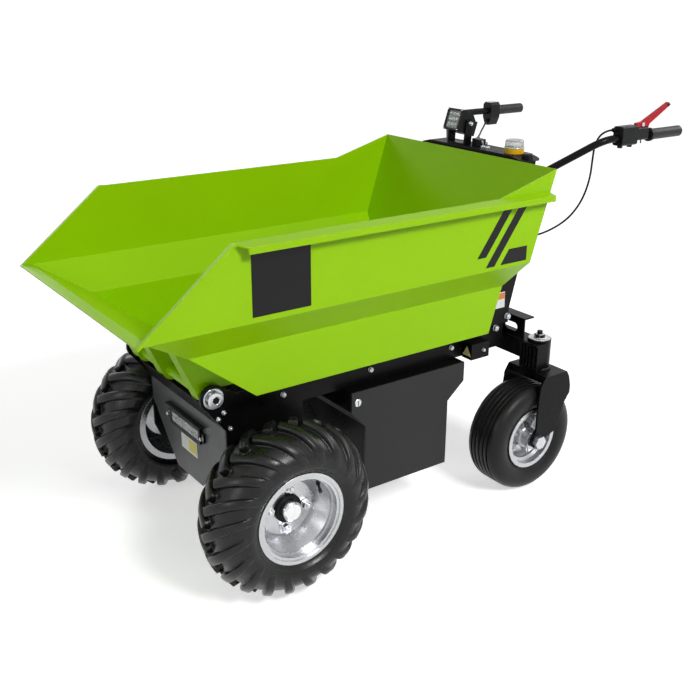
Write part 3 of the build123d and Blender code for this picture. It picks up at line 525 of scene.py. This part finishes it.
def lug(heap, centre, side, turn):
    """One bar from the middle of the tread over the shoulder to the sidewall."""
    rows = []
    for step in range(LUG_STEPS + 1):
        share = step / LUG_STEPS
        row = []
        # the nose is blunt, the outer end fades into the sidewall
        nose = min(1.0, share * LUG_RUN / LUG_NOSE)
        tail = min(1.0, (1 - share) * LUG_RUN / LUG_TAIL)
        height = (1 - (1 - nose) ** 2) ** 0.5 * (1 - (1 - tail) ** 2) ** 0.5
        width = LUG_HALF * (0.86 + 0.14 * nose) * (0.8 + 0.2 * tail)
        for across, up in LUG_SECTION:
            u = across * width
            place = min(1.0, max(0.0, share + u * sin(LUG_LEAN) / LUG_RUN))
            foot = along(LUG_FOOT, place)
            top = along(LUG_TOP, place)
            rise = max(up * height, 0.0)
            r = mixed(foot[0] - FOOT_SUNK, top[0], rise)
            y = mixed(foot[1] - (FLANK_SUNK if foot[0] < FLANK_R else 0.0), top[1], rise)
            round_run = share * LUG_RUN * sin(LUG_LEAN) * 0.92 - u * cos(LUG_LEAN)
            a = turn + round_run / TREAD_R
            row.append(centre + Vector((r * sin(a), side * y, -r * cos(a))) * MM)
        rows.append(row)
    n = len(LUG_SECTION)
    verts = [v for row in rows for v in row]
    faces = []
    for j in range(LUG_STEPS):
        first, then = n * j, n * (j + 1)
        faces += [(first + k, first + k + 1, then + k + 1, then + k) for k in range(n - 1)]
    faces.append(tuple(range(n)))
    heap.add(verts, faces)


def front_tyre(side_name):
    node = f"tyre_{side_name}"
    centre = mid(node)
    heap = Heap()
    half = carcass_section()
    loop = [*[(r, -y) for r, y in reversed(half)], *half[1:]]
    bead_r, bead_y = BEAD
    heap.turned([*loop, (bead_r, bead_y), (bead_r, -bead_y), loop[0]], centre, Y_DIR, 144)
    outer = 1 if side_name == "left" else -1
    for side in (1, -1):
        offset = 0 if side == outer else 0.5
        for i in range(LUGS):
            lug(heap, centre, side, tau / LUGS * (i + offset) + LUG_PHASE)
    obj = heap.piece(f"tread_{side_name}", "front_tyre", f"wheel_{side_name}", smooth=50)
    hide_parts(node)


# ---------------------------------------------------------------- caster tyres
GROOVES = (27.0, 14.0)         # offsets from the middle, which has one more
GROOVE_R = 136.5


def caster_tyre(side_name):
    node = f"caster_tyre_{side_name}"
    centre = mid(node)
    half = rounded([(72, 38), (83, 43), (92, 50), (104, 53.4),
                    (122, 52.6), (134, 46), (139.5, 38), (141, 33)], 1)
    for y in GROOVES:
        half += [(141.6, y + 3.2), (141.3, y + 2.6), (GROOVE_R, y + 1.6),
                 (GROOVE_R, y - 1.6), (141.5, y - 2.6), (141.8, y - 3.2)]
    half += [(142, 4.2), (141.7, 2.6), (GROOVE_R, 1.6)]
    loop = [*half, *[(r, -y) for r, y in reversed(half)], half[0]]
    heap = Heap()
    heap.turned(loop, centre, Y_DIR, 128)
    obj = heap.piece(f"ribbed_{side_name}", "caster_tyre", f"caster_wheel_{side_name}", smooth=38)
    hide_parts(node)


for name in ("left", "right"):
    front_tyre(name)
    caster_tyre(name)


# ---------------------------------------------------------------- wheel details
DISC_OUT = 4                   # face of the wheel disc, out from the rim's middle
NUTS = 4
NUT_CIRCLE = 47
NUT_TURN = radians(8)
VALVE_TURN = 2.4
WEBS = 6
WEB_TURN = radians(15)
PIN = (-795, 237, 315)         # kingpin: ahead, out to the side, top of the fork's crown
CROWN_FOLDS = (-833, -762)     # rear and front edge of the crown
RIBS = (211, 222, 233, 244, 257)
HOUSING_FACE = -760


def wheel_parts(side_name, side):
    body = f"wheel_{side_name}"
    outward = Y_DIR * side
    disc = mid(f"wheel_rim_{side_name}") + outward * (DISC_OUT * MM)
    nuts = Heap()
    for i in range(NUTS):
        a = tau / NUTS * i + NUT_TURN
        nuts.bolt(disc + Vector((cos(a), 0, sin(a))) * (NUT_CIRCLE * MM), outward, 19, 10, 14)
    nuts.piece(f"wheel_nuts_{side_name}", "zinc", body, round_mm=0.7)
    ring = Heap()
    profile = [(22.2, 0), (32, 0), (32, 6.4), (30.4, 9), (24, 9.8), (22.2, 9), (22.2, 0)]
    ring.turned(profile, disc, outward, 56)
    ring.piece(f"hub_ring_{side_name}", "panel_black", body)
    valve = Heap()
    spoke = Vector((cos(VALVE_TURN), 0, sin(VALVE_TURN)))
    foot = disc + spoke * (80 * MM) + outward * (30 * MM)
    lean = (outward - spoke * 0.5).normalized()
    profile = [(4.2, -4), (4.2, 6), (2.8, 8), (2.8, 20), (3.8, 20), (3.8, 27), (0, 27.5)]
    valve.turned(profile, foot, lean, 20)
    valve.piece(f"valve_{side_name}", "grip_rubber", body)


def crown_folds(side_name):
    """Folded edges under the crown, ahead of and behind the tyre."""
    fork_low, fork_high = low(f"caster_fork_{side_name}"), high(f"caster_fork_{side_name}")
    folds = Heap()
    for ahead in CROWN_FOLDS:
        place = Vector((AXLE_X + ahead * MM, (fork_low.y + fork_high.y) / 2, 0.303))
        folds.box(place, ((fork_high.y - fork_low.y) / MM - 4, 14, 5))
    folds.piece(f"crown_folds_{side_name}", "frame_paint", f"caster_{side_name}", round_mm=0.8)


def caster_webs(side_name, outward):
    """Webs on both faces of the caster rim's disc, and the ring at their inner end."""
    centre = mid(f"caster_rim_{side_name}")
    webs = Heap()
    for face in (outward, -outward):
        for i in range(WEBS):
            a = tau / WEBS * i + WEB_TURN
            spoke = Vector((cos(a), 0, sin(a)))
            start = centre + face * (6 * MM)
            reach = spoke * MM
            wide = face.cross(spoke) * (2.2 * MM)
            low_in, low_out = start + reach * 25.5, start + reach * 60
            top_in, top_out = low_in + face * (16 * MM), low_out + face * (13 * MM)
            ring = [low_in, low_out, top_out, top_in]
            around = [(0, 1, 5, 4), (1, 2, 6, 5), (2, 3, 7, 6), (3, 0, 4, 7)]
            webs.add([*[p - wide for p in ring], *[p + wide for p in ring]],
                     [(0, 1, 2, 3), (4, 5, 6, 7), *around])
        webs.turned([(25.8, 30), (29.5, 30), (30.5, 12), (33, 8), (33, 6)], centre, face, 40)
    webs.piece(f"caster_webs_{side_name}", "rim_silver", f"caster_wheel_{side_name}", round_mm=0.8)


def caster_parts(side_name, side):
    crown_folds(side_name)
    caster_webs(side_name, Y_DIR * side)
    ahead, out, top = PIN
    pin = spot(ahead, side * out, top)
    base = Heap()
    profile = [(13, 0.4), (34, 0.4), (34, 5), (32.5, 6.5), (30.1, 6.5), (30.1, 1.2)]
    base.turned(profile, pin, Z_DIR, 48)
    base.piece(f"pivot_seal_{side_name}", "grip_rubber")
    ribs = Heap()
    for y in RIBS:
        ribs.box(spot(HOUSING_FACE, side * y, 352), (4.5, 58, 3.5))
    ribs.box(spot(HOUSING_FACE, side * out, 385.5), (60, 6, 4.5))
    ribs.piece(f"housing_ribs_{side_name}", "frame_paint", round_mm=0.8)
    cap = Heap()
    profile = [(12, 0), (27, 0), (28.5, 0.6), (26, 1.8), (12, 2.2)]
    cap.turned(profile, pin + Z_DIR * (80 * MM), Z_DIR, 48)
    cap.bolt(pin + Z_DIR * (81 * MM), Z_DIR, 22, 8, 17)
    cap.piece(f"pivot_cap_{side_name}", "zinc", f"caster_{side_name}", round_mm=0.5)


for name, side in (("left", 1), ("right", -1)):
    wheel_parts(name, side)
    caster_parts(name, side)


# ---------------------------------------------------------------- stripes and blank plates
FILM = 0.4
STRIPE_SLANT = 0.72            # forward for each mm down
STRIPE_WIDE = 26
STRIPE_LOW = 642
STRIPE_TOP = 771


def side_film(name, shapes, y, material, slot, body="root"):
    """Thin film on a side wall; shapes hold (ahead, z) points in mm."""
    heap = Heap()
    for shape in shapes:
        heap.prism([(-a, z) for a, z in shape], spot(0, y, 0), -X_DIR, Z_DIR, FILM)
    return heap.piece(name, slot, body, material)


def stripe(foot, low_z):
    """Slanting bar whose rear edge would meet STRIPE_LOW at foot."""
    corners = ((0, low_z), (0, STRIPE_TOP), (STRIPE_WIDE, STRIPE_TOP), (STRIPE_WIDE, low_z))
    return [(foot - STRIPE_SLANT * (z - STRIPE_LOW) + wide, z) for wide, z in corners]


wall_y = high("tub_side_left").y / MM
square = ((80, 644), (-52, 644), (-52, 771), (80, 771))
block = ((-562, 642), (-643, 642), (-643, 676), (-586, 676))
side_film("dark_square", [square], wall_y, STRIPE_BLACK, "tub_paint", "tub")
side_film("side_stripes", [stripe(-498, 667), stripe(-543, 642), block],
          wall_y, STRIPE_BLACK, "tub_paint", "tub")

tower_y = high("control_tower").y / MM
plate = ((-672, 478), (-715, 478), (-713, 519), (-672, 519))
band = ((-673, 501), (-713, 501), (-712, 517), (-673, 517))
side_film("tower_plate", [plate], tower_y, PLATE_WHITE, "control_plastic")
side_film("tower_plate_band", [band], tower_y + FILM, PLATE_ORANGE, "control_plastic")

cover_x = high("front_cover").x
front_plate = Heap()
front_plate.box(Vector((cover_x, 0.004, 0.248)), (78, 37, FILM))
front_plate.piece("front_plate", "cover_paint", material=PLATE_WHITE)
front_band = Heap()
front_band.box(Vector((cover_x + FILM * MM, 0.021, 0.248)), (36, 27, FILM))
front_band.piece("front_plate_band", "cover_paint", material=PLATE_YELLOW)
triangle = Heap()
outrigger_face = Vector((high("outriggers").x, 0.198, mid("outriggers").z))
triangle.prism(((-15, -12), (15, -12), (0, 13)), outrigger_face, Y_DIR, Z_DIR, FILM)
triangle.piece("outrigger_plate", "frame_paint", material=PLATE_PALE)


# ---------------------------------------------------------------- bolts and screws
TIP_SHAFT = (107, 438)         # ahead and height
COVER_SCREW = (-240, 349)
frame_y = high("side_plates").y / MM
rail_y = frame_y - 6
arm_y = high("outriggers").y / MM
box_y = high("battery_covers").y / MM

# ahead, out to the side, height, across the flats
SIDE_BOLTS = (
    (-725, tower_y, 452, 13), (-687, tower_y, 428, 13),
    (84, frame_y, 400, 8), (97, frame_y, 388, 8), (70, frame_y, 360, 8),
    (-545, rail_y, 405, 10), (-300, rail_y, 405, 10), (-60, frame_y, 405, 10),
)
side_bolts, pivot_heads, pivot_socket_shade = Heap(), Heap(), Heap()
cover_screws, screw_slot_shade = Heap(), Heap()
for side in (1, -1):
    out = Y_DIR * side
    for ahead, y, z, across in SIDE_BOLTS:
        side_bolts.bolt(spot(ahead, side * y, z), out, across, across * 0.5)
    side_bolts.bolt(spot(-622, side * arm_y, 393), out, 7, 4)

    pivot = spot(TIP_SHAFT[0], side * frame_y, TIP_SHAFT[1])
    head = [(0, 9.9), (11, 9.9), (17, 10.5), (17.5, 13), (16, 14.5), (9, 14.8), (8.2, 13.4), (0, 13.4)]
    pivot_heads.turned(head, pivot, out, 44)
    pivot_heads.turned([(23, 0), (23, 2.6), (22, 3.2), (15, 3.2)], pivot, out, 44)
    # a black hexagon laid in the head's socket recess: painted shade
    pivot_socket_shade.turned([(0, 13.0), (8.2, 13.0), (8.2, 13.8), (0, 13.8)], pivot, out, 6)

    screw = spot(COVER_SCREW[0], side * box_y, COVER_SCREW[1])
    cover_screws.turned([(0, 0), (9.5, 0), (9.5, 2), (8, 3.2), (0, 3.4)], screw, out, 36)
    # a black bar on the flat screw head: painted shade of its slot
    slot_face = spot(COVER_SCREW[0], side * (box_y + 2.9), COVER_SCREW[1])
    right, up = (Z_DIR, X_DIR) if side > 0 else (X_DIR, Z_DIR)
    screw_slot_shade.box(slot_face, (13, 1.8, 0.7), right, up)
side_bolts.piece("side_bolts", "zinc", round_mm=0.4)
pivot_heads.piece("pivot_heads", "zinc")
pivot_socket_shade.piece("pivot_socket_shade", "panel_black")
cover_screws.piece("cover_screws", "zinc")
screw_slot_shade.piece("screw_slot_shade", "panel_black")


# ---------------------------------------------------------------- front lamp
LED_STEP = 13
FIRST_LED = -58.5
LED_ROW = 6.2                  # above and below the lens's middle
lens_x = high("front_lamp_lens").x
lens_z = mid("front_lamp_lens").z
lamp_z = mid("front_lamp").z
front_leds = Heap()
for row in (-1, 1):
    for i in range(10):
        place = Vector((lens_x, (FIRST_LED + LED_STEP * i) * MM, lens_z + row * LED_ROW * MM))
        front_leds.dome(place, X_DIR, 5.6, 1.9, 14)
front_leds.piece("front_leds", "lamp_lens", material=LED)
lamp_ears, ear_bolts = Heap(), Heap()
for side in (1, -1):
    lamp_ears.box(Vector((cover_x, side * 0.081, lamp_z)), (13, 22, 5))
    ear_bolts.bolt(Vector((cover_x + 0.005, side * 0.0825, lamp_z)), X_DIR, 8, 5)
lamp_ears.box(Vector((cover_x, 0, lamp_z + 0.027)), (176, 2.4, 13))
lamp_ears.piece("front_lamp_bracket", "lamp_case", round_mm=0.6)
ear_bolts.piece("front_lamp_bolts", "zinc", round_mm=0.4)

# ---------------------------------------------------------------- work lamp
TILT = radians(18)
LAMP_Y = -52
lamp_normal = Vector((cos(TILT), 0, sin(TILT)))
lamp_up = Vector((-sin(TILT), 0, cos(TILT)))
lamp_centre = spot(-755, LAMP_Y, 903)


def on_lamp(across, up, out):
    """Place on the tilted work lamp, in mm from its middle."""
    return lamp_centre + lamp_normal * (out * MM) + Y_DIR * (across * MM) + lamp_up * (up * MM)


work_leds, lamp_trim, fins = Heap(), Heap(), Heap()
for row in (-1, 0, 1):
    for column in (-1, 0, 1):
        work_leds.dome(on_lamp(14 * column, 13.5 * row, 27), lamp_normal, 6.2, 2.4, 16)
for side in (1, -1):
    for end in (1, -1):
        lamp_trim.bolt(on_lamp(25.2 * side, 24.2 * end, 30), lamp_normal, 2.6, 1)
    lamp_trim.bolt(spot(-757, LAMP_Y + side * 33, 902), Y_DIR * side, 9, 4)
for i in range(6):
    fins.box(on_lamp(-20 + 8 * i, -7, -30), (2.2, 36, 7), -Y_DIR, lamp_up)
work_leds.piece("work_leds", "lamp_lens", material=LED)
lamp_trim.piece("work_lamp_bolts", "zinc")
fins.piece("work_lamp_fins", "lamp_case", round_mm=0.5)

# ---------------------------------------------------------------- control panel
panel_z = high("control_panel").z / MM
switch_lean = (Z_DIR + X_DIR * 0.2).normalized()
switches = Heap()
for y in (24, 40):
    foot = spot(-764, y, panel_z)
    switches.turned([(6.5, 0), (6.5, 3), (5.5, 4), (3.6, 4), (3.6, 6)], foot, Z_DIR, 24)
    switches.turned([(1.8, 5), (2.6, 15), (2.2, 16.5), (0, 17)], foot, switch_lean, 20)
switches.piece("switches", "zinc")
beacon = mid("beacon_lens")
beacon.z = low("beacon_lens").z
beacon_ring = Heap()
beacon_ring.turned([(23.2, -1), (24.4, -1), (24.4, 1.4), (23.2, 1.4)], beacon, Z_DIR, 48)
beacon_ring.piece("beacon_ring", "zinc")

# ---------------------------------------------------------------- handles
BAR_Y = 280
bar_z = mid("grips").z / MM
strap = Heap()
outline = [(-11, 0), (11, 0), (11, 2), (-11, 2)]
strap.prism(outline, spot(-1094, -BAR_Y, bar_z + 24), Y_DIR, Z_DIR, 32)
strap.piece("throttle_strap", "zinc", round_mm=0.6)
clamp_bolts = Heap()
bolt_end = [(0, 0), (6.5, 0), (6.5, 5), (5.4, 6.2), (0, 6.2)]
for ahead in (-975, -1010):
    clamp_bolts.turned(bolt_end, spot(ahead, BAR_Y, bar_z - 18), -Z_DIR, 24)
stop_pin = [(0, 0), (1.6, 0), (1.6, 10), (0, 10)]
clamp_bolts.turned(stop_pin, spot(-1052, BAR_Y, bar_z - 9), -Z_DIR, 12)
clamp_bolts.piece("clamp_bolts", "control_plastic")
lever_pin = Heap()
pin_head = [(0, 0), (5, 0), (5, 2.2), (4.2, 3), (0, 3)]
lever_pin.turned(pin_head, spot(-1047, BAR_Y + 5, 913), Y_DIR, 24)
lever_pin.piece("lever_pin", "zinc")
lever_cap = Heap()
along_lever = (Z_DIR + X_DIR * 0.45).normalized()
lever_cap.box(spot(-1142, BAR_Y, 956), (11.4, 10, 8), Y_DIR, along_lever)
lever_cap.piece("lever_tip", "panel_black", round_mm=2.0)


# ---------------------------------------------------------------- cables
def cord_curve(name, route, radius, node):
    """A cable on its route's points, which stands for its CAD node."""
    data = bpy.data.curves.new(name, "CURVE")
    data.dimensions = "3D"
    spline = data.splines.new("NURBS")
    spline.points.add(len(route) - 1)
    for point, place in zip(spline.points, route):
        point.co = (*place, 1.0)
    spline.order_u = 3
    spline.use_endpoint_u = True
    spline.resolution_u = 12
    data.bevel_depth = radius
    data.bevel_resolution = 5
    data.use_fill_caps = True
    data.materials.append(MATERIALS["cable_sheath"])
    cable = bpy.data.objects.new(name, data)
    bpy.context.scene.collection.objects.link(cable)
    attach(cable, "root")
    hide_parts(node)
    return cable


CABLE_R = 0.0025
brake_points = (
    (-0.517, 0.269, 0.905),
    (-0.501, 0.267, 0.905),
    (-0.485, 0.258, 0.894),
    (-0.478, 0.251, 0.871),
    (-0.474, 0.252, 0.840),
    (-0.473, 0.251, 0.790),
    (-0.464, 0.242, 0.738),
    (-0.441, 0.229, 0.696),
    (-0.407, 0.212, 0.668),
    (-0.367, 0.188, 0.648),
    (-0.337, 0.160, 0.637),
)
throttle_points = (
    (-0.614, -0.272, 0.858),
    (-0.573, -0.236, 0.853),
    (-0.516, -0.184, 0.852),
    (-0.464, -0.134, 0.856),
    (-0.419, -0.088, 0.860),
    (-0.383, -0.055, 0.862),
    (-0.357, -0.029, 0.861),
)
for name, route, length in (
    ("brake_cable_line", brake_points, 0.385),
    ("throttle_cable_line", throttle_points, 0.354),
):
    cable = cord_curve(name, route, CABLE_R, name.removesuffix("_line"))


# ---------------------------------------------------------------- camera, floor and light
scene = bpy.context.scene
scene.view_settings.view_transform = "Standard"

lens = bpy.data.cameras.new("camera")
lens.sensor_width = 36.0
lens.lens = 49.083
camera = bpy.data.objects.new("camera", lens)
camera.location = (1.355671, 1.789674, 1.237715)
camera.rotation_euler = (radians(68.8409), radians(-0.3168), radians(144.4846))
scene.collection.objects.link(camera)
scene.camera = camera


def seen_rays(tree):
    """1 for rays that look at the background, straight, mirrored or through glass."""
    path = tree.nodes.new("ShaderNodeLightPath")
    seen = path.outputs["Is Camera Ray"]
    for kind in ("Is Glossy Ray", "Is Transmission Ray"):
        both = tree.nodes.new("ShaderNodeMath")
        both.operation = "MAXIMUM"
        tree.links.new(seen, both.inputs[0])
        tree.links.new(path.outputs[kind], both.inputs[1])
        seen = both.outputs[0]
    return seen


def scaled(tree, value, low_out, high_out):
    """Map Range node from 0-1 to the given outputs."""
    level = tree.nodes.new("ShaderNodeMapRange")
    level.inputs["To Min"].default_value = low_out
    level.inputs["To Max"].default_value = high_out
    tree.links.new(value, level.inputs["Value"])
    return level


FLOOR_REACH = 140.0
FLOOR_DROP = 0.0005            # keeps it just under what stands on it
FLOOR_GLOW = 0.56              # near the part, where its shadow shows
FAR_GLOW = 0.90                # far off, where the lamps don't reach
GLOW_RISE = (1.4, 4.5)         # metres from the middle
WORLD_LIGHT = 0.14


def floor():
    reach = FLOOR_REACH
    mesh = bpy.data.meshes.new("floor")
    mesh.from_pydata([(-reach, -reach, 0), (reach, -reach, 0), (reach, reach, 0), (-reach, reach, 0)],
                     [], [(0, 1, 2, 3)])
    obj = bpy.data.objects.new("floor", mesh)
    obj.location.z = cad_box[0][2] - FLOOR_DROP
    scene.collection.objects.link(obj)
    mat = bpy.data.materials.new("floor")
    mat.use_nodes = True
    tree = mat.node_tree
    shader = tree.nodes["Principled BSDF"]
    shader.inputs["Base Color"].default_value = (0.90, 0.90, 0.90, 1)
    shader.inputs["Roughness"].default_value = 0.7
    shader.inputs["Specular IOR Level"].default_value = 0.0
    shader.inputs["Emission Color"].default_value = (1, 1, 1, 1)
    place = tree.nodes.new("ShaderNodeNewGeometry")
    away = tree.nodes.new("ShaderNodeVectorMath")
    away.operation = "LENGTH"
    tree.links.new(place.outputs["Position"], away.inputs[0])
    glow = scaled(tree, away.outputs["Value"], FLOOR_GLOW, FAR_GLOW)
    glow.inputs["From Min"].default_value, glow.inputs["From Max"].default_value = GLOW_RISE
    strength = tree.nodes.new("ShaderNodeMath")
    strength.operation = "MULTIPLY"
    tree.links.new(glow.outputs["Result"], strength.inputs[0])
    tree.links.new(seen_rays(tree), strength.inputs[1])
    tree.links.new(strength.outputs[0], shader.inputs["Emission Strength"])
    mesh.materials.append(mat)
    return obj


def soft_light(name, place, aim, size, power):
    """Area lamp that looks at a point."""
    data = bpy.data.lights.new(name, "AREA")
    data.shape = "RECTANGLE"
    data.size, data.size_y = size
    data.energy = power
    obj = bpy.data.objects.new(name, data)
    obj.location = place
    obj.rotation_euler = (Vector(aim) - Vector(place)).to_track_quat("-Z", "Y").to_euler()
    scene.collection.objects.link(obj)


floor()
soft_light("key", (-0.1, 3.9, 3.5), (0, 0, 0.45), (1.3, 1.2), 162)
soft_light("front", (4.2, 1.0, 2.2), (0, 0, 0.4), (1.6, 1.4), 26)
soft_light("back", (-3.6, 0.6, 2.4), (0, 0, 0.5), (1.4, 1.2), 34)
soft_light("right", (0.6, -3.8, 2.4), (0, 0, 0.5), (2.0, 1.6), 40)

world = bpy.data.worlds.new("studio")
world.use_nodes = True
scene.world = world
tree = world.node_tree
back = tree.nodes["Background"]
back.inputs["Color"].default_value = (1, 1, 1, 1)
level = scaled(tree, seen_rays(tree), WORLD_LIGHT, 1.0)
tree.links.new(level.outputs["Result"], back.inputs["Strength"])
